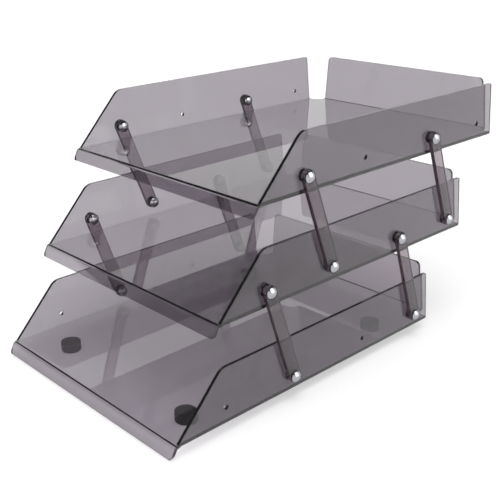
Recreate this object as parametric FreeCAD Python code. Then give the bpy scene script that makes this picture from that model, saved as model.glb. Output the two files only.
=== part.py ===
import FreeCAD, Part
import math
import os

# Three letter trays of bent acrylic sheet, stacked on flat link arms that pivot at both ends.
# Millimetres and degrees. +Z is up, the trays open towards -Y, and +X is the right-hand side.
# The origin is on the table, under the middle of the whole stack as it stands open.

# Tray: one sheet bent into a floor, two side walls, a back wall and a front lip
tray_width = 250.0
tray_depth = 341.2
wall_height = 52.5
sheet_thickness = 3.0
bend_inside_radius = 1.0
bend_outside_radius = 2.5

# Side walls: the front edge slopes back from the front fold to the top
slope_run = 49.4
slope_corner_radius = 12.0
wall_rear_corner_radius = 2.0

# Front lip: folded down and forwards from the floor
lip_length = 11.8
lip_drop_angle = 62.0
lip_end_inset = 0.5
lip_corner_radius = 5.0
lip_bend_radius = 4.0

# Rear corners: a slot separates each side wall from the back wall
slot_depth = 15.0
slot_width = 16.5
slot_flare = 5.0
slot_corner_radius = 8.0
back_corner_radius = 5.0

# Pivot holes: four in a row in each side wall, two for each set of arms
front_hole_setback = 53.2
rear_hole_setback = 41.0
hole_stagger = 76.0
hole_height = 15.5

# Link arms
arm_centres = 93.0
arm_width = 12.5
arm_thickness = 4.0
arm_edge_chamfer = 0.3
lower_lean_angle = 18.3
upper_lean_angle = 20.4

# Pivot rivets: a barrel with a domed head inside the wall, and a domed cap outside the arm
barrel_diameter = 4.0
barrel_clearance = 0.1
shank_diameter = 2.4
shank_clearance = 0.05
shank_length = 5.5
shank_end_gap = 0.5
dome_diameter = 11.0
dome_rim_height = 0.8
dome_crown_height = 3.2
arm_side_gap = 0.15

# Washers between wall and arm
washer_diameter = 10.0
washer_thickness = 1.0

# Rubber feet under the bottom tray
foot_diameter = 19.0
foot_height = 9.3
foot_edge_radius = 1.2
foot_side_setback = 37.5
foot_front_setback = 40.5
foot_rear_setback = 61.0

# How far cutting tools run past what they cut
overrun = 5.0

# Sizes that follow from those above
half_width = tray_width / 2
wall_rear = tray_depth - slot_depth
back_half_width = half_width - slot_width
hole_diameter = barrel_diameter + 2 * barrel_clearance
hole_pair_spacing = tray_depth - front_hole_setback - hole_stagger - rear_hole_setback
arm_inner_face = half_width + washer_thickness + arm_side_gap
arm_outer_face = arm_inner_face + arm_thickness
barrel_end = arm_outer_face + arm_side_gap
barrel_start = half_width - sheet_thickness
lip_reach = lip_length * math.cos(math.radians(lip_drop_angle))
lip_root = 2 * lip_bend_radius * math.tan(math.radians(lip_drop_angle) / 2)

x_axis = FreeCAD.Vector(1, 0, 0)
y_axis = FreeCAD.Vector(0, 1, 0)
z_axis = FreeCAD.Vector(0, 0, 1)
origin = FreeCAD.Vector(0, 0, 0)

# Each view gives the directions of an outline's two coordinates and of its normal
side_view = (y_axis, z_axis, x_axis)
front_view = (x_axis, z_axis, y_axis)
plan_view = (x_axis, y_axis, z_axis)

sides = ("left", "right")


def direction(start, finish):
    """Unit vector from one point to another."""
    step = finish - start
    return step * (1 / step.Length)


def rounded_outline(corners, view):
    """Closed wire through (u, v, radius) corners, with a tangent arc at each corner that has a radius."""
    points = [view[0] * u + view[1] * v for u, v, radius in corners]
    entries = []
    exits = []
    edges = []
    for index, corner in enumerate(points):
        radius = corners[index][2]
        back = direction(corner, points[index - 1])
        ahead = direction(corner, points[(index + 1) % len(points)])
        half_angle = back.getAngle(ahead) / 2
        setback = radius / math.tan(half_angle)
        entries.append(corner + back * setback)
        exits.append(corner + ahead * setback)
        if radius > 0:
            inward = direction(corner, corner + back + ahead)
            crown = corner + inward * (radius / math.sin(half_angle) - radius)
            edges.append(Part.Arc(entries[-1], crown, exits[-1]).toShape())
    for index, start in enumerate(exits):
        edges.append(Part.makeLine(start, entries[(index + 1) % len(entries)]))
    return Part.Wire(Part.__sortEdges__(edges))


def prism(corners, view, start, finish):
    """Solid with the rounded outline as its section, from start to finish along the view's normal."""
    face = Part.Face(rounded_outline(corners, view))
    face.translate(view[2] * start)
    return face.extrude(view[2] * (finish - start))


def rod(diameter, start, finish):
    """Round bar along X, from start to finish."""
    return Part.makeCylinder(diameter / 2, finish - start, x_axis * start, x_axis)


def tray_channel():
    """Floor and side walls, with the sloped fronts and the leaning rear ends of the walls."""
    inside = half_width - sheet_thickness
    section = [
        (-half_width, wall_height, 0),
        (-half_width, 0, bend_outside_radius),
        (half_width, 0, bend_outside_radius),
        (half_width, wall_height, 0),
        (inside, wall_height, 0),
        (inside, sheet_thickness, bend_inside_radius),
        (-inside, sheet_thickness, bend_inside_radius),
        (-inside, wall_height, 0),
    ]
    wall = [
        (0, 0, 0),
        (slope_run, wall_height, slope_corner_radius),
        (wall_rear - slot_flare, wall_height, wall_rear_corner_radius),
        (wall_rear, 0, 0),
    ]
    square_channel = prism(section, front_view, 0, tray_depth)
    return square_channel.common(prism(wall, side_view, -tray_width, tray_width))


def tray_floor():
    """Flat of the floor, narrowed between the two rear slots."""
    flat_half_width = half_width - bend_outside_radius
    rear = tray_depth - bend_outside_radius
    outline = [
        (-flat_half_width, lip_root, 0),
        (flat_half_width, lip_root, 0),
        (flat_half_width, wall_rear, 0),
        (back_half_width, wall_rear, slot_corner_radius),
        (back_half_width, rear, 0),
        (-back_half_width, rear, 0),
        (-back_half_width, wall_rear, slot_corner_radius),
        (-flat_half_width, wall_rear, 0),
    ]
    return prism(outline, plan_view, 0, sheet_thickness)


def tray_back():
    """Back wall with its bend, narrower than the tray by the two slots."""
    inside = tray_depth - sheet_thickness
    section = [
        (wall_rear, 0, 0),
        (tray_depth, 0, bend_outside_radius),
        (tray_depth, wall_height, 0),
        (inside, wall_height, 0),
        (inside, sheet_thickness, bend_inside_radius),
        (wall_rear, sheet_thickness, 0),
    ]
    top_half_width = back_half_width - slot_flare
    outline = [
        (-back_half_width, 0, 0),
        (-top_half_width, wall_height, back_corner_radius),
        (top_half_width, wall_height, back_corner_radius),
        (back_half_width, 0, 0),
    ]
    full_width = prism(section, side_view, -half_width, half_width)
    return full_width.common(prism(outline, front_view, 0, tray_depth + overrun))


def tray_lip():
    """Front strip of the floor, folded down and forwards, with its two lower corners rounded."""
    drop = math.radians(lip_drop_angle)
    tip_drop = lip_length * math.sin(drop)
    tip_under_y = sheet_thickness * math.sin(drop) - lip_reach
    tip_under_z = sheet_thickness - tip_drop - sheet_thickness * math.cos(drop)
    section = [
        (lip_root, 0, 0),
        (lip_root, sheet_thickness, 0),
        (0, sheet_thickness, lip_bend_radius),
        (-lip_reach, sheet_thickness - tip_drop, 0),
        (tip_under_y, tip_under_z, 0),
        (sheet_thickness * math.tan(drop / 2), 0, bend_inside_radius),
    ]
    lip_half_width = half_width - lip_end_inset
    outline = [
        (-lip_half_width, sheet_thickness, 0),
        (-lip_half_width, tip_under_z, lip_corner_radius),
        (lip_half_width, tip_under_z, lip_corner_radius),
        (lip_half_width, sheet_thickness, 0),
    ]
    full_width = prism(section, side_view, -half_width, half_width)
    return full_width.common(prism(outline, front_view, -tray_depth, tray_depth))


def tray_sheet():
    """One whole tray, with the front fold of its floor at Y = 0 and its underside at Z = 0."""
    sheet = tray_channel().fuse([tray_floor(), tray_back(), tray_lip()]).removeSplitter()
    for pair_y in (0, hole_pair_spacing):
        for stagger in (0, hole_stagger):
            hole = rod(hole_diameter, -half_width - overrun, half_width + overrun)
            hole.translate(y_axis * (front_hole_setback + stagger + pair_y) + z_axis * hole_height)
            sheet = sheet.cut(hole)
    return sheet.Solids[0]


def link_arm():
    """Flat bar with two round ends, upright, with its lower hole on the X axis."""
    bar = Part.makeBox(arm_thickness, arm_width, arm_centres, y_axis * (-arm_width / 2))
    arm = bar.fuse([rod(arm_width, 0, arm_thickness), raised(rod(arm_width, 0, arm_thickness))])
    arm = arm.removeSplitter()
    rims = [edge for face in arm.Faces if face.BoundBox.XLength < arm_edge_chamfer for edge in face.Edges]
    arm = arm.makeChamfer(arm_edge_chamfer, rims)
    hole = rod(hole_diameter, -overrun, arm_thickness + overrun)
    arm = arm.cut(hole).cut(raised(hole))
    arm.translate(x_axis * arm_inner_face)
    return arm


def raised(shape):
    """Copy of a shape at the upper hole of an upright arm."""
    return shape.translated(z_axis * arm_centres)


def dome():
    """Domed rivet head, with its flat on the YZ plane and its crown towards +X."""
    radius = dome_diameter / 2
    height = dome_rim_height + dome_crown_height
    ball_radius = (radius ** 2 + dome_crown_height ** 2) / (2 * dome_crown_height)
    half_sweep = math.asin(radius / ball_radius) / 2
    ball_centre = height - ball_radius
    shoulder = FreeCAD.Vector(dome_rim_height, radius, 0)
    crown = FreeCAD.Vector(height, 0, 0)
    flank_x = ball_centre + ball_radius * math.cos(half_sweep)
    flank = FreeCAD.Vector(flank_x, ball_radius * math.sin(half_sweep), 0)
    edges = [
        Part.makeLine(origin, y_axis * radius),
        Part.makeLine(y_axis * radius, shoulder),
        Part.Arc(shoulder, flank, crown).toShape(),
        Part.makeLine(crown, origin),
    ]
    return Part.Face(Part.Wire(edges)).revolve(origin, x_axis, 360)


def rivet_post():
    """Inner half of a right-hand rivet: a head against the inside of the wall, and a hollow barrel."""
    head = dome().mirror(origin, x_axis)
    head.translate(x_axis * barrel_start)
    bore_diameter = shank_diameter + 2 * shank_clearance
    bore_start = barrel_end - shank_length - shank_end_gap
    post = head.fuse(rod(barrel_diameter, barrel_start, barrel_end)).removeSplitter()
    return post.cut(rod(bore_diameter, bore_start, barrel_end + overrun))


def rivet_cap():
    """Outer half of a right-hand rivet: a domed cap on the barrel's end, and its shank in the barrel."""
    cap = dome()
    cap.translate(x_axis * barrel_end)
    return cap.fuse(rod(shank_diameter, barrel_end - shank_length, barrel_end)).removeSplitter()


def washer():
    """Flat ring between a right-hand wall and its arm."""
    ring = rod(washer_diameter, half_width, half_width + washer_thickness)
    return ring.cut(rod(hole_diameter, half_width - overrun, half_width + overrun))


def foot():
    """Round rubber foot, standing on Z = 0."""
    outline = [
        (0, 0, 0),
        (foot_diameter / 2, 0, foot_edge_radius),
        (foot_diameter / 2, foot_height, 0),
        (0, foot_height, 0),
    ]
    return Part.Face(rounded_outline(outline, front_view)).revolve(origin, z_axis, 360)


def on_side(shape, side):
    """A right-hand shape, or its mirror image on the left."""
    if side == "left":
        return shape.mirror(origin, x_axis)
    return shape


def arm_rise(lean):
    """From an arm's lower hole to its upper one, for an arm that leans forwards."""
    lean_angle = math.radians(lean)
    return y_axis * (-arm_centres * math.sin(lean_angle)) + z_axis * (arm_centres * math.cos(lean_angle))


def tray_places():
    """Where the front fold of each tray lies, on the underside of its floor."""
    lower_step = y_axis * hole_stagger + arm_rise(lower_lean_angle)
    upper_step = y_axis * hole_stagger + arm_rise(upper_lean_angle)
    front_fold_y = (lip_reach - tray_depth - lower_step.y - upper_step.y) / 2
    bottom = y_axis * front_fold_y + z_axis * foot_height
    middle = bottom + lower_step
    return {"bottom": bottom, "middle": middle, "top": middle + upper_step}


def pivots():
    """Every pivot as arm name, end, tray and place on the middle plane, for the arms of one side."""
    places = tray_places()
    for tier, below, above in (("lower", "bottom", "middle"), ("upper", "middle", "top")):
        for row, row_y in (("front", 0), ("rear", hole_pair_spacing)):
            hole = y_axis * (front_hole_setback + row_y) + z_axis * hole_height
            yield f"{tier}_{row}", "bottom", below, places[below] + hole + y_axis * hole_stagger
            yield f"{tier}_{row}", "top", above, places[above] + hole


def link_nodes():
    """The arms, and the two halves of every rivet."""
    leans = {"lower": lower_lean_angle, "upper": upper_lean_angle}
    nodes = {}
    for arm, end, tray, place in pivots():
        leaning = link_arm()
        leaning.rotate(origin, x_axis, leans[arm.split("_")[0]])
        for side in sides:
            if end == "bottom":
                nodes[f"{arm}_{side}_arm"] = on_side(leaning, side).translated(place)
            nodes[f"{arm}_{side}_{end}_post"] = on_side(rivet_post(), side).translated(place)
            nodes[f"{arm}_{side}_{end}_cap"] = on_side(rivet_cap(), side).translated(place)
    return nodes


def washer_nodes():
    """The washers, one group for each side of each tray."""
    groups = {}
    for arm, end, tray, place in pivots():
        for side in sides:
            group = groups.setdefault(f"{tray}_tray_{side}_washers", [])
            group.append(on_side(washer(), side).translated(place))
    return {name: Part.makeCompound(rings) for name, rings in groups.items()}


def foot_nodes():
    """The feet under the bottom tray."""
    front_fold = y_axis * tray_places()["bottom"].y
    nodes = {}
    for row, setback in (("front", foot_front_setback), ("rear", tray_depth - foot_rear_setback)):
        for side in sides:
            place = front_fold + y_axis * setback + x_axis * (half_width - foot_side_setback)
            nodes[f"{row}_{side}_foot"] = on_side(foot().translated(place), side)
    return nodes


def build():
    """Every node of the stack, by name."""
    sheet = tray_sheet()
    nodes = {tray + "_tray": sheet.translated(place) for tray, place in tray_places().items()}
    return nodes | link_nodes() | washer_nodes() | foot_nodes()


os.makedirs("parts", exist_ok=True)
for node, shape in build().items():
    shape.exportStep("parts/" + node + ".step")
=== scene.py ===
import itertools
import math

import bmesh
import bpy
from bpy.props import FloatProperty, FloatVectorProperty, IntProperty, PointerProperty
from mathutils import Euler, Matrix, Vector


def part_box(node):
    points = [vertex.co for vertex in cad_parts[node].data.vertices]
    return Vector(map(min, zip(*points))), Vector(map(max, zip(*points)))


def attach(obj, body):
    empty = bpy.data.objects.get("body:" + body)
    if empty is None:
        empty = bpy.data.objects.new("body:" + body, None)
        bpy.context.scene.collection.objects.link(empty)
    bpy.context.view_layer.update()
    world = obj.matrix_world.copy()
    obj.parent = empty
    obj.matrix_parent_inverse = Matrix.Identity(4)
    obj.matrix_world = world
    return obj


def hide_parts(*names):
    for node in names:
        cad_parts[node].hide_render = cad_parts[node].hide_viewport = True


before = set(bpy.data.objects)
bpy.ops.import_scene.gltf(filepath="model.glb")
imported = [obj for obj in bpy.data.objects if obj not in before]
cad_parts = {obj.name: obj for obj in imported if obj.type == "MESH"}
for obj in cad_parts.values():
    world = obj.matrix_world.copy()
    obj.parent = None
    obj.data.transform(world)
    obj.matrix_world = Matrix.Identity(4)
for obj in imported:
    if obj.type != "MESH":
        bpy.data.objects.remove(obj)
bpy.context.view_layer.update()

bl_info = {
    "name": "Letter tray stack",
    "version": (1, 0, 0),
    "blender": (4, 5, 0),
    "location": "3D View > Sidebar > Letter trays",
    "description": "Smoked acrylic letter trays on swinging link arms",
    "category": "Object",
}

x_axis = Vector((1, 0, 0))
y_axis = Vector((0, 1, 0))
z_axis = Vector((0, 0, 1))

# Each view gives the directions of an outline's two coordinates and of its normal
side_view = (y_axis, z_axis, x_axis)
front_view = (x_axis, z_axis, y_axis)
plan_view = (x_axis, y_axis, z_axis)

# Lays a shape that is made round the Z axis along the X axis
along_x = Matrix.Rotation(math.radians(90), 4, "Y")

# A small corner gets fewer steps, so that its steps stay longer than the rounding of the edges
shortest_step = 0.0003
fewest_steps = 3

# Steps in a full turn, and rings from pole to pole of the ball that a dome is cut from
hole_steps = 32
dome_steps = 40
dome_rings = 48
washer_steps = 48
foot_steps = 64
stage_steps = 96

# Steps in a quarter turn or in a rounded edge
arm_end_steps = 12
edge_steps = 2
foot_edge_steps = 6
foot_top_steps = 3

# Points nearer than this are one point, in an outline and in a shape
outline_tolerance = 1e-7
shape_tolerance = 1e-6

# Faces that turn less than flat_angle are made one, and edges that turn more than sharp_angle are rounded
flat_angle = math.radians(0.05)
sharp_angle = math.radians(40)

# How much more a large face counts than a small one, so that flat faces look flat up to their rounded edges
large_face_weight = 100

# How many faces light may meet, for it goes through many walls of acrylic one after another
most_bounces = 40
most_transmissions = 36
most_transparent = 48

white = (1, 1, 1, 1)

# The body that each tray rides on, the trays that each tier joins, and the rows of arms and feet
trays = {"bottom": "base", "middle": "middle", "top": "top"}
tiers = {"lower": ("bottom", "middle"), "upper": ("middle", "top")}
rows = ("front", "rear")
sides = ("left", "right")


def length(name, description, default):
    """A size in metres that a user may change."""
    return FloatProperty(
        name=name,
        description=description,
        default=default,
        min=0,
        precision=4,
        unit="LENGTH",
    )


def angle(name, description, degrees):
    """An angle that a user may change."""
    return FloatProperty(name=name, description=description, default=math.radians(degrees), subtype="ANGLE")


def location(name, description, default):
    """A place in the scene that a user may change."""
    return FloatVectorProperty(
        name=name,
        description=description,
        default=default,
        subtype="TRANSLATION",
        unit="LENGTH",
    )


def colour(name, description, default):
    """A colour that a user may change."""
    return FloatVectorProperty(
        name=name,
        description=description,
        default=default,
        size=3,
        min=0,
        max=1,
        subtype="COLOR",
    )


def share(name, description, default, soft_max=1):
    """A plain number that a user may change."""
    return FloatProperty(name=name, description=description, default=default, min=0, soft_max=soft_max)


class TraySizes(bpy.types.PropertyGroup):
    """Sizes of the bent acrylic trays"""

    width: length("Width", "Outside width over the two side walls", 0.250)
    depth: length("Depth", "From the front fold to the back of the back wall", 0.3412)
    wall_height: length("Wall height", "From the underside of the floor to the top of the walls", 0.0525)
    thickness: length("Sheet thickness", "Thickness of the acrylic sheet", 0.003)
    bend_inside: length("Bend inside radius", "Inside radius of the bends", 0.001)
    bend_outside: length("Bend outside radius", "Outside radius of the bends under the walls", 0.0025)
    bend_steps: IntProperty(
        name="Bend steps",
        description="Flat strips in each rounded bend or corner",
        default=10,
        min=2,
    )
    slope_run: length("Slope run", "How far back the sloped front edge leans", 0.0494)
    slope_corner: length("Slope corner radius", "Radius at the top of the sloped edge", 0.012)
    rear_corner: length("Rear corner radius", "Radius at the rear top of the side walls", 0.002)
    lip_length: length("Lip length", "Length of the folded front lip", 0.0118)
    lip_angle: angle("Lip angle", "How far the lip is folded down", 62)
    lip_inset: length("Lip inset", "From the tray's side to the end of the lip", 0.0005)
    lip_corner: length("Lip corner radius", "Radius of the lip's lower corners", 0.005)
    lip_bend: length("Lip bend radius", "Outside radius of the front fold", 0.004)
    slot_depth: length("Slot depth", "From the back of the tray to the end of the side walls", 0.015)
    slot_width: length("Slot width", "From the tray's side to the end of the back wall", 0.0165)
    slot_flare: length("Slot flare", "How far each side of the slot leans, up to the top", 0.005)
    slot_corner: length("Slot corner radius", "Radius of the slot in the floor", 0.008)
    back_corner: length("Back corner radius", "Radius at the top corners of the back wall", 0.005)
    edge_rounding: length("Edge rounding", "How far the polished cut edges are rounded", 0.00015)
    front_hole: length("Front hole setback", "From the front fold to the first pivot hole", 0.0532)
    rear_hole: length("Rear hole setback", "From the last pivot hole to the back of the tray", 0.041)
    hole_stagger: length("Hole stagger", "Between the holes for the arms below and above", 0.076)
    hole_height: length("Hole height", "From the underside of the floor to the pivot holes", 0.0155)
    hole_diameter: length("Hole diameter", "Diameter of the pivot holes", 0.0042)


class ArmSizes(bpy.types.PropertyGroup):
    """Sizes of the flat link arms"""

    width: length("Width", "Width of the bar, and the diameter of its ends", 0.0125)
    thickness: length("Thickness", "Thickness of the bar", 0.004)
    edge_rounding: length("Edge rounding", "How far the rims are rounded", 0.0003)
    hole_diameter: length("Hole diameter", "Diameter of the two pivot holes", 0.0042)


class RivetSizes(bpy.types.PropertyGroup):
    """Sizes of the domed rivets"""

    dome_diameter: length("Dome diameter", "Diameter of both heads", 0.011)
    rim_height: length("Rim height", "Height of the straight rim under the dome", 0.0008)
    crown_height: length("Crown height", "Height of the dome above its rim", 0.0032)
    barrel_diameter: length("Barrel diameter", "Outside diameter of the barrel", 0.004)
    bore_diameter: length("Bore diameter", "Inside diameter of the barrel", 0.0025)
    bore_depth: length("Bore depth", "Depth of the barrel's bore", 0.006)
    shank_diameter: length("Shank diameter", "Diameter of the cap's shank", 0.0024)
    rim_rounding: length("Rim rounding", "How far the rim's edge is rounded", 0.0002)


class SmallPartSizes(bpy.types.PropertyGroup):
    """Sizes of the washers and feet"""

    washer_edge: length("Washer edge", "How far the washers' edges are rounded", 0.00015)
    foot_edge: length("Foot edge", "Radius of the feet's lower edge", 0.0012)
    foot_top_edge: length("Foot top edge", "Radius of the feet's upper edge", 0.0003)


class Finishes(bpy.types.PropertyGroup):
    """Colours and surface of each material"""

    smoke: colour("Smoke tint", "Colour that the trays let through", (0.085, 0.0, 0.100))
    smoke_density: share("Smoke density", "How fast light is absorbed in the trays, per metre", 298, 1000)
    bar_smoke: colour("Bar tint", "Colour that the link arms let through", (0.150, 0.0, 0.090))
    bar_density: share("Bar density", "How fast light is absorbed in the link arms, per metre", 260, 1000)
    refraction: share("Refractive index", "How strongly the acrylic bends and mirrors light", 1.6, 3)
    clarity: share("Clarity", "Share of light that the acrylic lets in without haze", 0.985)
    lit_through: share("Lit through", "Share of a lamp's light that passes each face of the acrylic", 0.9)
    # The plating colour is darker than bare chrome, so it partly paints shade onto the domes; the
    # near-black edge colour paints a dark rim round each dome.
    chrome: colour("Chrome", "Colour of the plated rivets", (0.42, 0.42, 0.44))
    chrome_rim_shade: colour("Chrome edge", "Colour of the plated rivets at a grazing angle", (0.05, 0.05, 0.05))
    rubber: colour("Rubber", "Colour of the feet", (0.005, 0.006, 0.010))
    rubber_dust: colour("Rubber dust", "Colour of the dust on the feet", (0.03, 0.03, 0.034))
    washer: colour("Washer plastic", "Colour of the washers", (0.020, 0.019, 0.022))
    washer_dust: colour("Washer dust", "Colour of the dust on the washers", (0.06, 0.06, 0.062))


class StageSettings(bpy.types.PropertyGroup):
    """Floor, lamps and camera"""

    floor: colour("Floor", "Colour of the floor", (0.75, 0.75, 0.75))
    floor_radius: length("Floor radius", "Radius of the round floor", 6)
    floor_gap: length("Floor gap", "How far the floor lies under the feet", 0.0001)
    floor_fill: share("Floor fill", "Light added to the floor where it is seen", 0.42)
    world: share("World light", "Light of the plain surroundings", 0.5)
    sun: share("Soft sun", "Strength of the wide, even light from above", 1.2, 10)
    sun_width: angle("Sun width", "Angle that the soft sun fills", 40)
    sun_place: location("Sun place", "Where the soft sun shines from", (0.2, -0.15, 1.0))
    lamp: share("Lamp power", "Power of the soft lamp on the right, in watts", 3, 200)
    lamp_size: length("Lamp size", "Side of the square lamp on the right", 0.45)
    lamp_place: location("Lamp place", "Where the soft lamp on the right hangs", (1.3, 0.35, 0.40))
    # The ceiling and screen are seen only in mirror images: their colour paints dark reflections.
    card: colour("Dark card", "Colour of the ceiling and screen that are mirrored", (0.03, 0.03, 0.03))
    ceiling_height: length("Ceiling height", "Height of the ceiling over the floor", 3)
    ceiling_radius: length("Ceiling radius", "Radius of the round ceiling", 4.2)
    # The window glows but lights nothing and is seen only in mirror images: it paints the highlight on the
    # rivets.
    painted_highlight_strength: share("Window light", "Brightness of the pale window that the rivets mirror", 2.6, 10)
    window_width: length("Window width", "Width of the mirrored window", 1.5)
    window_height: length("Window height", "Height of the mirrored window", 1.8)
    window_place: location("Window place", "Where the mirrored window hangs", (1.25, 0.13, 0.85))
    screen_width: length("Screen width", "Width of the dark screen on the left", 2.4)
    screen_height: length("Screen height", "Height of the dark screen on the left", 1.7)
    screen_place: location("Screen place", "Where the dark screen hangs", (-1.85, -1.15, 1.3))
    lens: FloatProperty(name="Lens", description="Focal length, in millimetres", default=61.42, min=1)
    sensor: FloatProperty(name="Sensor", description="Sensor width, in millimetres", default=36, min=1)
    near_end: length("Near end", "Nearest distance that the camera sees", 0.01)
    camera_place: location("Camera place", "Where the camera stands", (0.57246, -0.55201, 0.39601))
    camera_turn: FloatVectorProperty(
        name="Camera turn",
        description="How the camera is turned",
        default=(math.radians(68.4618), math.radians(0.7710), math.radians(46.4528)),
        subtype="EULER",
    )


def corner_angle(corners, index):
    """Angle between the two sides that meet at a corner of an outline."""
    here = Vector(corners[index][:2])
    before = Vector(corners[index - 1][:2]) - here
    after = Vector(corners[(index + 1) % len(corners)][:2]) - here
    return before.angle(after)


def rounded_face(bm, corners, view, steps):
    """Flat face through (u, v, radius) corners, with the corners that have a radius rounded."""
    verts = [bm.verts.new(view[0] * u + view[1] * v) for u, v, radius in corners]
    bm.faces.new(verts)
    for index, vert in enumerate(verts):
        radius = corners[index][2]
        if radius > 0:
            bmesh.ops.bevel(
                bm,
                geom=[vert],
                affect="VERTICES",
                offset_type="ABSOLUTE",
                offset=radius / math.tan(corner_angle(corners, index) / 2),
                segments=max(fewest_steps, min(steps, round(radius / shortest_step))),
                profile=0.5,
                material=-1,
            )
    bmesh.ops.remove_doubles(bm, verts=bm.verts, dist=outline_tolerance)


def prism(corners, view, start, finish, steps):
    """Solid with the rounded outline as its section, from start to finish along the view's normal."""
    bm = bmesh.new()
    rounded_face(bm, corners, view, steps)
    bmesh.ops.translate(bm, verts=bm.verts, vec=view[2] * start)
    grown = bmesh.ops.extrude_face_region(bm, geom=bm.faces[:])
    far_verts = [item for item in grown["geom"] if isinstance(item, bmesh.types.BMVert)]
    bmesh.ops.translate(bm, verts=far_verts, vec=view[2] * (finish - start))
    bmesh.ops.recalc_face_normals(bm, faces=bm.faces)
    return bm


def hole_cutter(diameter, start, finish):
    """Round bar along X that cuts a hole."""
    bm = bmesh.new()
    bmesh.ops.create_cone(
        bm,
        cap_ends=True,
        segments=hole_steps,
        radius1=diameter / 2,
        radius2=diameter / 2,
        depth=finish - start,
        matrix=Matrix.Translation(x_axis * (start + finish) / 2) @ along_x,
    )
    return bm


def new_object(bm, name):
    """Object that holds a bmesh, which is freed."""
    mesh = bpy.data.meshes.new(name)
    bm.to_mesh(mesh)
    bm.free()
    piece = bpy.data.objects.new(name, mesh)
    bpy.context.scene.collection.objects.link(piece)
    return piece


def combined(first, second, operation):
    """Bmesh of two bmeshes joined, cut or crossed by a Boolean modifier."""
    kept = new_object(first, "kept")
    tool = new_object(second, "tool")
    boolean = kept.modifiers.new(operation.title(), "BOOLEAN")
    boolean.operation = operation
    boolean.solver = "EXACT"
    boolean.object = tool
    bpy.context.view_layer.update()
    graph = bpy.context.evaluated_depsgraph_get()
    result = bmesh.new()
    result.from_object(kept, graph)
    for piece in (kept, tool):
        mesh = piece.data
        bpy.data.objects.remove(piece)
        bpy.data.meshes.remove(mesh)
    bmesh.ops.remove_doubles(result, verts=result.verts, dist=shape_tolerance)
    return result


def finished(bm, name, body, material, node, edge=0):
    """Names a piece, gives it its finish and its body, and lets it stand for its solid."""
    for face in bm.faces:
        face.smooth = True
    piece = new_object(bm, name)
    piece.data.materials.append(material)
    if edge > 0:
        rounding = piece.modifiers.new("Rounded edges", "BEVEL")
        rounding.width = edge
        rounding.segments = edge_steps
        rounding.limit_method = "ANGLE"
        rounding.angle_limit = sharp_angle
        rounding.use_clamp_overlap = False
    facing = piece.modifiers.new("Flat faces stay flat", "WEIGHTED_NORMAL")
    facing.mode = "FACE_AREA"
    facing.weight = large_face_weight
    facing.thresh = 0
    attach(piece, body)
    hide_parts(node)


def tray_channel(sizes):
    """Floor and side walls, with the sloped fronts and the leaning rear ends of the walls."""
    half = sizes.width / 2
    inside = half - sizes.thickness
    top = sizes.wall_height
    section = [
        (-half, top, 0),
        (-half, 0, sizes.bend_outside),
        (half, 0, sizes.bend_outside),
        (half, top, 0),
        (inside, top, 0),
        (inside, sizes.thickness, sizes.bend_inside),
        (-inside, sizes.thickness, sizes.bend_inside),
        (-inside, top, 0),
    ]
    wall_rear = sizes.depth - sizes.slot_depth
    wall = [
        (0, 0, 0),
        (sizes.slope_run, top, sizes.slope_corner),
        (wall_rear - sizes.slot_flare, top, sizes.rear_corner),
        (wall_rear, 0, 0),
    ]
    square_channel = prism(section, front_view, 0, sizes.depth, sizes.bend_steps)
    walls = prism(wall, side_view, -sizes.width, sizes.width, sizes.bend_steps)
    return combined(square_channel, walls, "INTERSECT")


def fold_root(sizes):
    """How far behind the fold the lip's strip reaches, past its bend."""
    return 2 * sizes.lip_bend * math.tan(sizes.lip_angle / 2)


def tray_floor(sizes):
    """Flat of the floor, narrowed between the two rear slots."""
    flat = sizes.width / 2 - sizes.bend_outside
    back = sizes.width / 2 - sizes.slot_width
    wall_rear = sizes.depth - sizes.slot_depth
    rear = sizes.depth - sizes.bend_outside
    root = fold_root(sizes)
    outline = [
        (-flat, root, 0),
        (flat, root, 0),
        (flat, wall_rear, 0),
        (back, wall_rear, sizes.slot_corner),
        (back, rear, 0),
        (-back, rear, 0),
        (-back, wall_rear, sizes.slot_corner),
        (-flat, wall_rear, 0),
    ]
    return prism(outline, plan_view, 0, sizes.thickness, sizes.bend_steps)


def tray_back(sizes):
    """Back wall with its bend, narrower than the tray by the two slots."""
    wall_rear = sizes.depth - sizes.slot_depth
    inside = sizes.depth - sizes.thickness
    top = sizes.wall_height
    section = [
        (wall_rear, 0, 0),
        (sizes.depth, 0, sizes.bend_outside),
        (sizes.depth, top, 0),
        (inside, top, 0),
        (inside, sizes.thickness, sizes.bend_inside),
        (wall_rear, sizes.thickness, 0),
    ]
    foot = sizes.width / 2 - sizes.slot_width
    shoulder = foot - sizes.slot_flare
    outline = [
        (-foot, 0, 0),
        (-shoulder, top, sizes.back_corner),
        (shoulder, top, sizes.back_corner),
        (foot, 0, 0),
    ]
    full_width = prism(section, side_view, -sizes.width / 2, sizes.width / 2, sizes.bend_steps)
    ends = prism(outline, front_view, 0, 2 * sizes.depth, sizes.bend_steps)
    return combined(full_width, ends, "INTERSECT")


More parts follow.
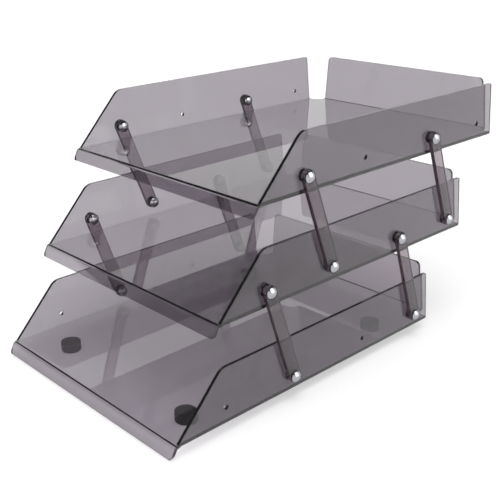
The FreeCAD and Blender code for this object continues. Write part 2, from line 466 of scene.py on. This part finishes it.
def tray_lip(sizes):
    """Front strip of the floor, folded down and forwards, with its two lower corners rounded."""
    reach = sizes.lip_length * math.cos(sizes.lip_angle)
    drop = sizes.lip_length * math.sin(sizes.lip_angle)
    tip_y = sizes.thickness * math.sin(sizes.lip_angle) - reach
    tip_z = sizes.thickness - drop - sizes.thickness * math.cos(sizes.lip_angle)
    root = fold_root(sizes)
    section = [
        (root, 0, 0),
        (root, sizes.thickness, 0),
        (0, sizes.thickness, sizes.lip_bend),
        (-reach, sizes.thickness - drop, 0),
        (tip_y, tip_z, 0),
        (sizes.thickness * math.tan(sizes.lip_angle / 2), 0, sizes.bend_inside),
    ]
    end = sizes.width / 2 - sizes.lip_inset
    outline = [
        (-end, sizes.thickness, 0),
        (-end, tip_z, sizes.lip_corner),
        (end, tip_z, sizes.lip_corner),
        (end, sizes.thickness, 0),
    ]
    full_width = prism(section, side_view, -sizes.width / 2, sizes.width / 2, sizes.bend_steps)
    ends = prism(outline, front_view, -sizes.depth, sizes.depth, sizes.bend_steps)
    return combined(full_width, ends, "INTERSECT")


def tray_sheet(sizes):
    """One whole tray, with the front fold of its floor at Y = 0 and its underside at Z = 0."""
    sheet = tray_channel(sizes)
    for part in (tray_floor(sizes), tray_back(sizes), tray_lip(sizes)):
        sheet = combined(sheet, part, "UNION")
    pair_spacing = sizes.depth - sizes.front_hole - sizes.hole_stagger - sizes.rear_hole
    for pair in (0, pair_spacing):
        for stagger in (0, sizes.hole_stagger):
            hole = hole_cutter(sizes.hole_diameter, -sizes.width, sizes.width)
            place = y_axis * (sizes.front_hole + stagger + pair) + z_axis * sizes.hole_height
            bmesh.ops.translate(hole, verts=hole.verts, vec=place)
            sheet = combined(sheet, hole, "DIFFERENCE")
    bmesh.ops.dissolve_limit(
        sheet,
        angle_limit=flat_angle,
        verts=sheet.verts,
        edges=sheet.edges,
        use_dissolve_boundaries=False,
    )
    bmesh.ops.recalc_face_normals(sheet, faces=sheet.faces)
    return sheet


def link_arm(sizes, reach):
    """Upright flat bar with two round ends, its lower hole on the X axis and its inner face at X = 0."""
    radius = sizes.width / 2
    outline = [
        (-radius, -radius, radius),
        (radius, -radius, radius),
        (radius, reach + radius, radius),
        (-radius, reach + radius, radius),
    ]
    arm = prism(outline, side_view, 0, sizes.thickness, arm_end_steps)
    for height in (0, reach):
        hole = hole_cutter(sizes.hole_diameter, -sizes.thickness, 2 * sizes.thickness)
        bmesh.ops.translate(hole, verts=hole.verts, vec=z_axis * height)
        arm = combined(arm, hole, "DIFFERENCE")
    bmesh.ops.recalc_face_normals(arm, faces=arm.faces)
    return arm


def rivet_head(sizes):
    """Domed head with its crown towards +X, left open at its foot on the YZ plane."""
    bm = bmesh.new()
    radius = sizes.dome_diameter / 2
    ball = (radius ** 2 + sizes.crown_height ** 2) / (2 * sizes.crown_height)
    centre = x_axis * (sizes.rim_height + sizes.crown_height - ball)
    bmesh.ops.create_uvsphere(
        bm,
        u_segments=dome_steps,
        v_segments=dome_rings,
        radius=ball,
        matrix=Matrix.Translation(centre) @ along_x,
    )
    bmesh.ops.bisect_plane(
        bm,
        geom=bm.verts[:] + bm.edges[:] + bm.faces[:],
        plane_co=x_axis * sizes.rim_height,
        plane_no=x_axis,
        clear_inner=True,
    )
    shoulder = [edge for edge in bm.edges if edge.is_boundary]
    grown = bmesh.ops.extrude_edge_only(bm, edges=shoulder)
    foot_verts = [item for item in grown["geom"] if isinstance(item, bmesh.types.BMVert)]
    bmesh.ops.translate(bm, verts=foot_verts, vec=-x_axis * sizes.rim_height)
    return bm


def closed_foot(bm):
    """Fills the open foot of a head, and returns the new face."""
    rim = [edge for edge in bm.edges if edge.is_boundary]
    return bmesh.ops.contextual_create(bm, geom=rim)["faces"][0]


def stepped(bm, face, diameter, old_diameter, travel):
    """Narrows a round face and moves it along X, and returns the moved face."""
    bmesh.ops.inset_region(bm, faces=[face], thickness=(old_diameter - diameter) / 2, use_even_offset=True)
    grown = bmesh.ops.extrude_discrete_faces(bm, faces=[face])["faces"][0]
    bmesh.ops.translate(bm, verts=grown.verts, vec=x_axis * travel)
    return grown


def rivet_post(sizes, barrel_length):
    """Head with a hollow barrel that runs towards +X from X = 0, and its crown towards -X."""
    bm = rivet_head(sizes)
    bmesh.ops.rotate(bm, verts=bm.verts, matrix=Matrix.Rotation(math.radians(180), 3, "Z"))
    face = closed_foot(bm)
    face = stepped(bm, face, sizes.barrel_diameter, sizes.dome_diameter, barrel_length)
    stepped(bm, face, sizes.bore_diameter, sizes.barrel_diameter, -sizes.bore_depth)
    bmesh.ops.recalc_face_normals(bm, faces=bm.faces)
    return bm


def rivet_cap(sizes, shank_length):
    """Head with its crown towards +X, and a shank that runs towards -X from X = 0."""
    bm = rivet_head(sizes)
    stepped(bm, closed_foot(bm), sizes.shank_diameter, sizes.dome_diameter, -shank_length)
    bmesh.ops.recalc_face_normals(bm, faces=bm.faces)
    return bm


def ring(inner_diameter, outer_diameter, start, finish):
    """Flat ring round the X axis."""
    inner = inner_diameter / 2
    outer = outer_diameter / 2
    bm = bmesh.new()
    corners = [(start, inner), (start, outer), (finish, outer), (finish, inner)]
    verts = [bm.verts.new((x, 0, z)) for x, z in corners]
    loop = [bm.edges.new((vert, verts[index - 1])) for index, vert in enumerate(verts)]
    bmesh.ops.spin(
        bm,
        geom=loop,
        cent=(0, 0, 0),
        axis=x_axis,
        angle=2 * math.pi,
        steps=washer_steps,
        use_merge=True,
    )
    bmesh.ops.recalc_face_normals(bm, faces=bm.faces)
    return bm


def mirrored(bm, side):
    """A right-hand shape, or its mirror image on the left."""
    if side == "left":
        bmesh.ops.scale(bm, verts=bm.verts, vec=(-1, 1, 1))
        bmesh.ops.reverse_faces(bm, faces=bm.faces)
    return bm


def middle_of(node):
    """Middle of a solid's box."""
    low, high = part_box(node)
    return (low + high) / 2


def place_beside(bm, node):
    """Moves a shape made on the X axis to the height and depth of a solid's middle."""
    centre = middle_of(node)
    bmesh.ops.translate(bm, verts=bm.verts, vec=(0, centre.y, centre.z))
    return bm


def reach_of(node):
    """How far from the middle plane a solid on one side starts and ends."""
    return sorted(abs(corner.x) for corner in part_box(node))


def pivots():
    """Every pivot, as the name of its arm, its side, the arm's end and the tray that it is in."""
    for tier, row, side in itertools.product(tiers, rows, sides):
        for end, tray in zip(("bottom", "top"), tiers[tier]):
            yield f"{tier}_{row}_{side}", side, end, tray


def new_material(name):
    """Empty material, with its node tree and its output."""
    material = bpy.data.materials.new(name)
    material.use_nodes = True
    material.node_tree.nodes.clear()
    output = material.node_tree.nodes.new("ShaderNodeOutputMaterial")
    return material, material.node_tree, output


def new_group(name, inputs, outputs):
    """Empty node group with its sockets, and the nodes that they come in by and leave by."""
    group = bpy.data.node_groups.new(name, "ShaderNodeTree")
    for label, kind, default in inputs:
        socket = group.interface.new_socket(name=label, in_out="INPUT", socket_type=kind)
        socket.default_value = default
    for label, kind in outputs:
        group.interface.new_socket(name=label, in_out="OUTPUT", socket_type=kind)
    return group, group.nodes.new("NodeGroupInput"), group.nodes.new("NodeGroupOutput")


def with_values(node, settings):
    """Gives a node plain values on its own sockets, and returns it."""
    for socket, value in settings.items():
        node.inputs[socket].default_value = value
    return node


def add_node(tree, kind, settings):
    """Node with plain values on its own sockets."""
    return with_values(tree.nodes.new(kind), settings)


def add_group(tree, group, settings):
    """A node group in a material, with its own values."""
    node = tree.nodes.new("ShaderNodeGroup")
    node.node_tree = group
    return with_values(node, settings)


def larger(tree, first, second):
    """The larger of two values."""
    node = tree.nodes.new("ShaderNodeMath")
    node.operation = "MAXIMUM"
    tree.links.new(first, node.inputs[0])
    tree.links.new(second, node.inputs[1])
    return node.outputs["Value"]


def chosen_shader(tree, choice, at_nought, at_one):
    """One shader where the choice is nought, and another where it is one."""
    node = tree.nodes.new("ShaderNodeMixShader")
    tree.links.new(choice, node.inputs["Fac"])
    tree.links.new(at_nought, node.inputs[1])
    tree.links.new(at_one, node.inputs[2])
    return node.outputs["Shader"]


def handling_wear():
    """Node group: fine scratches and finger marks, as a roughness and a height."""
    group = bpy.data.node_groups.get("Handling wear")
    if group:
        return group
    inputs = (
        ("Smooth roughness", "NodeSocketFloat", 0.02),
        ("Marked roughness", "NodeSocketFloat", 0.12),
        ("Marks per metre", "NodeSocketFloat", 30),
    )
    outputs = (("Roughness", "NodeSocketFloat"), ("Height", "NodeSocketFloat"))
    group, entry, leave = new_group("Handling wear", inputs, outputs)
    links = group.links
    place = group.nodes.new("ShaderNodeTexCoord")
    marks = add_node(group, "ShaderNodeTexNoise", {"Detail": 4})
    links.new(place.outputs["Object"], marks.inputs["Vector"])
    links.new(entry.outputs["Marks per metre"], marks.inputs["Scale"])
    stretch = add_node(group, "ShaderNodeMapping", {"Scale": (160, 2400, 900), "Rotation": (0.3, 0.5, 0.7)})
    links.new(place.outputs["Object"], stretch.inputs["Vector"])
    scratches = add_node(group, "ShaderNodeTexNoise", {"Scale": 1})
    links.new(stretch.outputs["Vector"], scratches.inputs["Vector"])
    fine = add_node(group, "ShaderNodeMapRange", {"From Min": 0.62, "From Max": 0.75})
    links.new(scratches.outputs["Fac"], fine.inputs["Value"])
    smudge = add_node(group, "ShaderNodeMapRange", {"From Min": 0.55, "From Max": 0.80})
    links.new(marks.outputs["Fac"], smudge.inputs["Value"])
    blend = group.nodes.new("ShaderNodeMapRange")
    links.new(larger(group, fine.outputs["Result"], smudge.outputs["Result"]), blend.inputs["Value"])
    links.new(entry.outputs["Smooth roughness"], blend.inputs["To Min"])
    links.new(entry.outputs["Marked roughness"], blend.inputs["To Max"])
    links.new(blend.outputs["Result"], leave.inputs["Roughness"])
    links.new(marks.outputs["Fac"], leave.inputs["Height"])
    return group


def moulded_grain():
    """Node group: fine grain of moulded plastic or rubber, with dust, as a colour and a height."""
    group = bpy.data.node_groups.get("Moulded grain")
    if group:
        return group
    inputs = (
        ("Body colour", "NodeSocketColor", (0.02, 0.02, 0.02, 1)),
        ("Dust colour", "NodeSocketColor", (0.12, 0.12, 0.12, 1)),
        ("Grains per metre", "NodeSocketFloat", 4000),
    )
    outputs = (("Colour", "NodeSocketColor"), ("Height", "NodeSocketFloat"))
    group, entry, leave = new_group("Moulded grain", inputs, outputs)
    links = group.links
    place = group.nodes.new("ShaderNodeTexCoord")
    grain = group.nodes.new("ShaderNodeTexNoise")
    links.new(place.outputs["Object"], grain.inputs["Vector"])
    links.new(entry.outputs["Grains per metre"], grain.inputs["Scale"])
    dust = add_node(group, "ShaderNodeTexNoise", {"Scale": 500, "Detail": 6})
    links.new(place.outputs["Object"], dust.inputs["Vector"])
    patches = add_node(group, "ShaderNodeMapRange", {"From Min": 0.5, "From Max": 0.9})
    links.new(dust.outputs["Fac"], patches.inputs["Value"])
    tint = group.nodes.new("ShaderNodeMix")
    tint.data_type = "RGBA"
    links.new(patches.outputs["Result"], tint.inputs["Factor"])
    links.new(entry.outputs["Body colour"], tint.inputs["A"])
    links.new(entry.outputs["Dust colour"], tint.inputs["B"])
    links.new(tint.outputs["Result"], leave.inputs["Colour"])
    links.new(grain.outputs["Fac"], leave.inputs["Height"])
    return group


def bump(tree, height, target, strength, distance):
    """Feeds a height to a shader's normal."""
    node = add_node(tree, "ShaderNodeBump", {"Strength": strength, "Distance": distance})
    tree.links.new(height, node.inputs["Height"])
    tree.links.new(node.outputs["Normal"], target.inputs["Normal"])


def smoked_acrylic(name, tint, density):
    """Polished see-through acrylic that absorbs light along its path, so that its cut edges look dark."""
    finishes = bpy.context.scene.stack_finishes
    material, tree, output = new_material(name)
    clear = add_node(tree, "ShaderNodeBsdfPrincipled", {
        "Base Color": white,
        "Metallic": 0,
        "IOR": finishes.refraction,
        "Transmission Weight": finishes.clarity,
    })
    wear = add_group(tree, handling_wear(), {
        "Smooth roughness": 0,
        "Marked roughness": 0.02,
        "Marks per metre": 24,
    })
    tree.links.new(wear.outputs["Roughness"], clear.inputs["Roughness"])
    passed = [finishes.lit_through] * 3
    shadow = add_node(tree, "ShaderNodeBsdfTransparent", {"Color": (*passed, 1)})
    path = tree.nodes.new("ShaderNodeLightPath")
    in_shadow = path.outputs["Is Shadow Ray"]
    surface = chosen_shader(tree, in_shadow, clear.outputs["BSDF"], shadow.outputs["BSDF"])
    tree.links.new(surface, output.inputs["Surface"])
    smoke = add_node(tree, "ShaderNodeVolumeAbsorption", {"Color": (*tint, 1), "Density": density})
    tree.links.new(smoke.outputs["Volume"], output.inputs["Volume"])
    return material


def chrome_plate(name):
    """Chrome with fine wear, darker than bare chrome and near black at a grazing angle, which paints shade
    onto the domes and a dark rim round each.
    """
    finishes = bpy.context.scene.stack_finishes
    material, tree, output = new_material(name)
    plate = add_node(tree, "ShaderNodeBsdfPrincipled", {
        "Base Color": (*finishes.chrome, 1),
        "Metallic": 1,
        "Specular Tint": (*finishes.chrome_rim_shade, 1),
    })
    wear = add_group(tree, handling_wear(), {
        "Smooth roughness": 0.06,
        "Marked roughness": 0.22,
        "Marks per metre": 400,
    })
    tree.links.new(wear.outputs["Roughness"], plate.inputs["Roughness"])
    bump(tree, wear.outputs["Height"], plate, strength=0.05, distance=0.0002)
    tree.links.new(plate.outputs["BSDF"], output.inputs["Surface"])
    return material


def moulded(name, tint, dust, grains, roughness):
    """Dull moulded rubber or plastic."""
    material, tree, output = new_material(name)
    dull = add_node(tree, "ShaderNodeBsdfPrincipled", {"Roughness": roughness, "Specular IOR Level": 0.35})
    grain = add_group(tree, moulded_grain(), {
        "Body colour": (*tint, 1),
        "Dust colour": (*dust, 1),
        "Grains per metre": grains,
    })
    tree.links.new(grain.outputs["Colour"], dull.inputs["Base Color"])
    bump(tree, grain.outputs["Height"], dull, strength=0.25, distance=0.0002)
    tree.links.new(dull.outputs["BSDF"], output.inputs["Surface"])
    return material


def matt_paint(tree, tint):
    """Paint without any shine."""
    settings = {"Base Color": (*tint, 1), "Roughness": 0.9, "Specular IOR Level": 0}
    return add_node(tree, "ShaderNodeBsdfPrincipled", settings)


class STACK_OT_trays(bpy.types.Operator):
    """Make the three bent acrylic trays"""

    bl_idname = "letter_trays.make_trays"
    bl_label = "Make trays"

    def execute(self, context):
        sizes = context.scene.stack_trays
        finishes = context.scene.stack_finishes
        acrylic = smoked_acrylic("smoked_acrylic_sheet", finishes.smoke, finishes.smoke_density)
        sheet = tray_sheet(sizes)
        reach = sizes.lip_length * math.cos(sizes.lip_angle)
        for tray, body in trays.items():
            node = tray + "_tray"
            low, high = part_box(node)
            place = y_axis * (low.y + reach) + z_axis * (high.z - sizes.wall_height)
            copy = sheet.copy()
            bmesh.ops.translate(copy, verts=copy.verts, vec=place)
            name = tray + "_acrylic_tray"
            finished(copy, name, body, acrylic, node, sizes.edge_rounding)
        sheet.free()
        return {"FINISHED"}


class STACK_OT_arms(bpy.types.Operator):
    """Make the flat acrylic link arms"""

    bl_idname = "letter_trays.make_arms"
    bl_label = "Make link arms"

    def execute(self, context):
        finishes = context.scene.stack_finishes
        acrylic = smoked_acrylic("smoked_acrylic_bar", finishes.bar_smoke, finishes.bar_density)
        for tier, row, side in itertools.product(tiers, rows, sides):
            self.make_arm(context.scene.stack_arms, acrylic, f"{tier}_{row}_{side}", side)
        return {"FINISHED"}

    def make_arm(self, sizes, acrylic, arm, side):
        """One link arm, between the middles of its two rivets."""
        node = arm + "_arm"
        rise = middle_of(arm + "_top_post") - middle_of(arm + "_bottom_post")
        rise.x = 0
        lean = math.atan2(-rise.y, rise.z)
        bar = link_arm(sizes, rise.length)
        bmesh.ops.translate(bar, verts=bar.verts, vec=x_axis * reach_of(node)[0])
        bar = mirrored(bar, side)
        bmesh.ops.rotate(bar, verts=bar.verts, matrix=Matrix.Rotation(lean, 3, "X"))
        place_beside(bar, arm + "_bottom_post")
        finished(bar, arm + "_link_bar", node, acrylic, node, sizes.edge_rounding)


class STACK_OT_rivets(bpy.types.Operator):
    """Make both halves of the domed rivets"""

    bl_idname = "letter_trays.make_rivets"
    bl_label = "Make rivets"

    def execute(self, context):
        sizes = context.scene.stack_rivets
        chrome = chrome_plate("chrome_plate")
        for arm, side, end, tray in pivots():
            for half in ("post", "cap"):
                self.make_half(sizes, chrome, f"{arm}_{end}_{half}", side, trays[tray])
        return {"FINISHED"}

    def make_half(self, sizes, chrome, node, side, body):
        """One half of a rivet: the inner post with its barrel, or the outer cap with its shank."""
        near, far = reach_of(node)
        if node.endswith("_post"):
            start = near + sizes.rim_height + sizes.crown_height
            half = rivet_post(sizes, far - start)
        else:
            start = far - sizes.rim_height - sizes.crown_height
            half = rivet_cap(sizes, start - near)
        bmesh.ops.translate(half, verts=half.verts, vec=x_axis * start)
        half = place_beside(mirrored(half, side), node)
        finished(half, node + "_rivet", body, chrome, node, sizes.rim_rounding)


class STACK_OT_washers(bpy.types.Operator):
    """Make the plastic washers between the walls and the arms"""

    bl_idname = "letter_trays.make_washers"
    bl_label = "Make washers"

    def execute(self, context):
        finishes = context.scene.stack_finishes
        tint, dust = finishes.washer, finishes.washer_dust
        plastic = moulded("washer_plastic", tint, dust, grains=5000, roughness=0.5)
        for side, tray in itertools.product(sides, trays):
            self.make_group(context, plastic, side, tray)
        return {"FINISHED"}

    def make_group(self, context, plastic, side, tray):
        """Washers of one side of one tray."""
        node = f"{tray}_tray_{side}_washers"
        low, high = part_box(node)
        start, finish = reach_of(node)
        hole = context.scene.stack_trays.hole_diameter
        group = bmesh.new()
        for arm, arm_side, end, arm_tray in pivots():
            if (arm_side, arm_tray) == (side, tray):
                washer = mirrored(ring(hole, high.z - low.z, start, finish), side)
                place_beside(washer, f"{arm}_{end}_post")
                mesh = bpy.data.meshes.new("washer")
                washer.to_mesh(mesh)
                washer.free()
                group.from_mesh(mesh)
                bpy.data.meshes.remove(mesh)
        edge = context.scene.stack_small_parts.washer_edge
        finished(group, node + "_rings", trays[tray], plastic, node, edge)


class STACK_OT_feet(bpy.types.Operator):
    """Make the round rubber feet"""

    bl_idname = "letter_trays.make_feet"
    bl_label = "Make feet"

    def execute(self, context):
        sizes = context.scene.stack_small_parts
        finishes = context.scene.stack_finishes
        tint, dust = finishes.rubber, finishes.rubber_dust
        rubber = moulded("foot_rubber", tint, dust, grains=3000, roughness=0.6)
        for row, side in itertools.product(rows, sides):
            node = f"{row}_{side}_foot"
            low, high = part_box(node)
            radius = (high.x - low.x) / 2
            foot = bmesh.new()
            bmesh.ops.create_cone(
                foot,
                cap_ends=True,
                segments=foot_steps,
                radius1=radius,
                radius2=radius,
                depth=high.z - low.z,
                matrix=Matrix.Translation(middle_of(node)),
            )
            self.round_rim(foot, low.z, sizes.foot_edge, foot_edge_steps)
            self.round_rim(foot, high.z, sizes.foot_top_edge, foot_top_steps)
            finished(foot, node + "_pad", "base", rubber, node)
        return {"FINISHED"}

    def round_rim(self, bm, height, radius, steps):
        """Rounds the rim of a foot at one height."""
        level = {vert for vert in bm.verts if abs(vert.co.z - height) < shape_tolerance}
        rim = [edge for edge in bm.edges if level.issuperset(edge.verts)]
        bmesh.ops.bevel(
            bm,
            geom=rim,
            affect="EDGES",
            offset=radius,
            segments=steps,
            profile=0.5,
            material=-1,
        )


class STACK_OT_stage(bpy.types.Operator):
    """Set the floor, lamps, surroundings and camera"""

    bl_idname = "letter_trays.set_stage"
    bl_label = "Set stage"

    def execute(self, context):
        scene = context.scene
        settings = scene.stack_stage
        self.lay_floor(settings)
        self.hang_cards(settings)
        self.light_world(settings)
        self.hang_lamps(settings)
        self.place_camera(settings)
        scene.view_settings.view_transform = "Standard"
        scene.cycles.max_bounces = most_bounces
        scene.cycles.transmission_bounces = most_transmissions
        scene.cycles.transparent_max_bounces = most_transparent
        return {"FINISHED"}

    def seen_share(self, tree):
        """One for rays that show a surface straight, mirrored or through glass, and else nought."""
        path = tree.nodes.new("ShaderNodeLightPath")
        seen = larger(tree, path.outputs["Is Camera Ray"], path.outputs["Is Glossy Ray"])
        return larger(tree, seen, path.outputs["Is Transmission Ray"])

    def lay_floor(self, settings):
        """Plain pale floor, which looks whiter than it is lit."""
        floor = new_object(self.disc(-settings.floor_gap, settings.floor_radius), "floor")
        material, tree, output = new_material("floor_paper")
        paper = matt_paint(tree, settings.floor)
        glow = add_node(tree, "ShaderNodeEmission", {"Color": white})
        fill = tree.nodes.new("ShaderNodeMath")
        fill.operation = "MULTIPLY"
        fill.inputs[1].default_value = settings.floor_fill
        tree.links.new(self.seen_share(tree), fill.inputs[0])
        tree.links.new(fill.outputs["Value"], glow.inputs["Strength"])
        both = tree.nodes.new("ShaderNodeAddShader")
        tree.links.new(paper.outputs["BSDF"], both.inputs[0])
        tree.links.new(glow.outputs["Emission"], both.inputs[1])
        tree.links.new(both.outputs["Shader"], output.inputs["Surface"])
        floor.data.materials.append(material)

    def hang_cards(self, settings):
        """Dark ceiling, dark screen and pale glowing window, which are only seen mirrored and light
        nothing: the dark cards paint dark reflections, and the window paints the rivets' highlight.
        """
        dark, tree, output = new_material("painted_dark_reflection")
        paint = matt_paint(tree, settings.card)
        tree.links.new(paint.outputs["BSDF"], output.inputs["Surface"])
        pale, tree, output = new_material("painted_highlight_glow")
        glow = add_node(tree, "ShaderNodeEmission", {"Color": white, "Strength": settings.painted_highlight_strength})
        tree.links.new(glow.outputs["Emission"], output.inputs["Surface"])
        ceiling = self.disc(settings.ceiling_height, settings.ceiling_radius)
        screen = self.oblong(settings.screen_place, settings.screen_width, settings.screen_height)
        window = self.oblong(settings.window_place, settings.window_width, settings.window_height)
        self.only_mirrored(new_object(ceiling, "ceiling"), dark)
        self.only_mirrored(new_object(screen, "screen"), dark)
        self.only_mirrored(new_object(window, "window"), pale)

    def disc(self, height, radius):
        """Flat round sheet."""
        bm = bmesh.new()
        place = Matrix.Translation(z_axis * height)
        bmesh.ops.create_circle(bm, cap_ends=True, segments=stage_steps, radius=radius, matrix=place)
        return bm

    def oblong(self, place, width, height):
        """Flat oblong that faces the object."""
        bm = bmesh.new()
        turn = (-Vector(place)).to_track_quat("Z", "Y").to_matrix().to_4x4()
        spread = Matrix.Diagonal((width / 2, height / 2, 1, 1))
        bmesh.ops.create_grid(bm, size=1, matrix=Matrix.Translation(place) @ turn @ spread)
        return bm

    def only_mirrored(self, card, material):
        """Makes a card part of the stage that nothing but a mirror image shows, so that it only paints a
        reflection.
        """
        card.visible_camera = False
        card.visible_diffuse = False
        card.visible_transmission = False
        card.visible_shadow = False
        card.data.materials.append(material)

    def light_world(self, settings):
        """Plain white surroundings, dimmer as a light than as a background."""
        world = bpy.data.worlds.new("studio")
        bpy.context.scene.world = world
        world.use_nodes = True
        tree = world.node_tree
        tree.nodes.clear()
        output = tree.nodes.new("ShaderNodeOutputWorld")
        light = add_node(tree, "ShaderNodeBackground", {"Color": white, "Strength": settings.world})
        backdrop = add_node(tree, "ShaderNodeBackground", {"Color": white, "Strength": 1})
        seen = self.seen_share(tree)
        surface = chosen_shader(tree, seen, light.outputs["Background"], backdrop.outputs["Background"])
        tree.links.new(surface, output.inputs["Surface"])

    def hang_lamps(self, settings):
        """A wide, even light from above, and a small soft lamp low on the right."""
        sun = bpy.data.lights.new("soft_sun", "SUN")
        sun.energy = settings.sun
        sun.angle = settings.sun_width
        self.aim(sun, Vector(settings.sun_place))
        lamp = bpy.data.lights.new("soft_lamp_right", "AREA")
        lamp.shape = "SQUARE"
        lamp.size = settings.lamp_size
        lamp.energy = settings.lamp
        self.aim(lamp, Vector(settings.lamp_place))

    def aim(self, lamp, place):
        """Hangs a lamp at a place, turned to the object, where no mirror image shows it."""
        holder = bpy.data.objects.new(lamp.name, lamp)
        bpy.context.scene.collection.objects.link(holder)
        holder.location = place
        holder.rotation_euler = (-place).to_track_quat("-Z", "Y").to_euler()
        holder.visible_glossy = False

    def place_camera(self, settings):
        """Camera where the photograph was taken."""
        camera = bpy.data.cameras.new("camera")
        camera.sensor_width = settings.sensor
        camera.lens = settings.lens
        camera.clip_start = settings.near_end
        holder = bpy.data.objects.new("camera", camera)
        bpy.context.scene.collection.objects.link(holder)
        holder.location = settings.camera_place
        holder.rotation_euler = Euler(settings.camera_turn)
        bpy.context.scene.camera = holder


class STACK_PT_panel(bpy.types.Panel):
    """Lists the steps that make the letter tray stack, and its sizes and colours"""

    bl_idname = "STACK_PT_panel"
    bl_label = "Letter tray stack"
    bl_space_type = "VIEW_3D"
    bl_region_type = "UI"
    bl_category = "Letter trays"

    def draw(self, context):
        for maker in makers:
            self.layout.operator(maker.bl_idname)
        for name in groups:
            settings = getattr(context.scene, name)
            box = self.layout.box()
            box.label(text=settings.bl_rna.description)
            for key in settings.__annotations__:
                box.prop(settings, key)


makers = (STACK_OT_trays, STACK_OT_arms, STACK_OT_rivets, STACK_OT_washers, STACK_OT_feet, STACK_OT_stage)

groups = {
    "stack_trays": TraySizes,
    "stack_arms": ArmSizes,
    "stack_rivets": RivetSizes,
    "stack_small_parts": SmallPartSizes,
    "stack_finishes": Finishes,
    "stack_stage": StageSettings,
}


def register():
    """Adds the classes, and their sizes and colours to the scene."""
    for kind in (*groups.values(), *makers, STACK_PT_panel):
        bpy.utils.register_class(kind)
    for name, kind in groups.items():
        setattr(bpy.types.Scene, name, PointerProperty(type=kind))


def unregister():
    """Takes away what register added."""
    for name in groups:
        delattr(bpy.types.Scene, name)
    for kind in (STACK_PT_panel, *makers, *groups.values()):
        bpy.utils.unregister_class(kind)


def main():
    """Makes the stack and its stage."""
    register()
    bpy.ops.letter_trays.make_trays()
    bpy.ops.letter_trays.make_arms()
    bpy.ops.letter_trays.make_rivets()
    bpy.ops.letter_trays.make_washers()
    bpy.ops.letter_trays.make_feet()
    bpy.ops.letter_trays.set_stage()


if __name__ == "__main__":
    main()
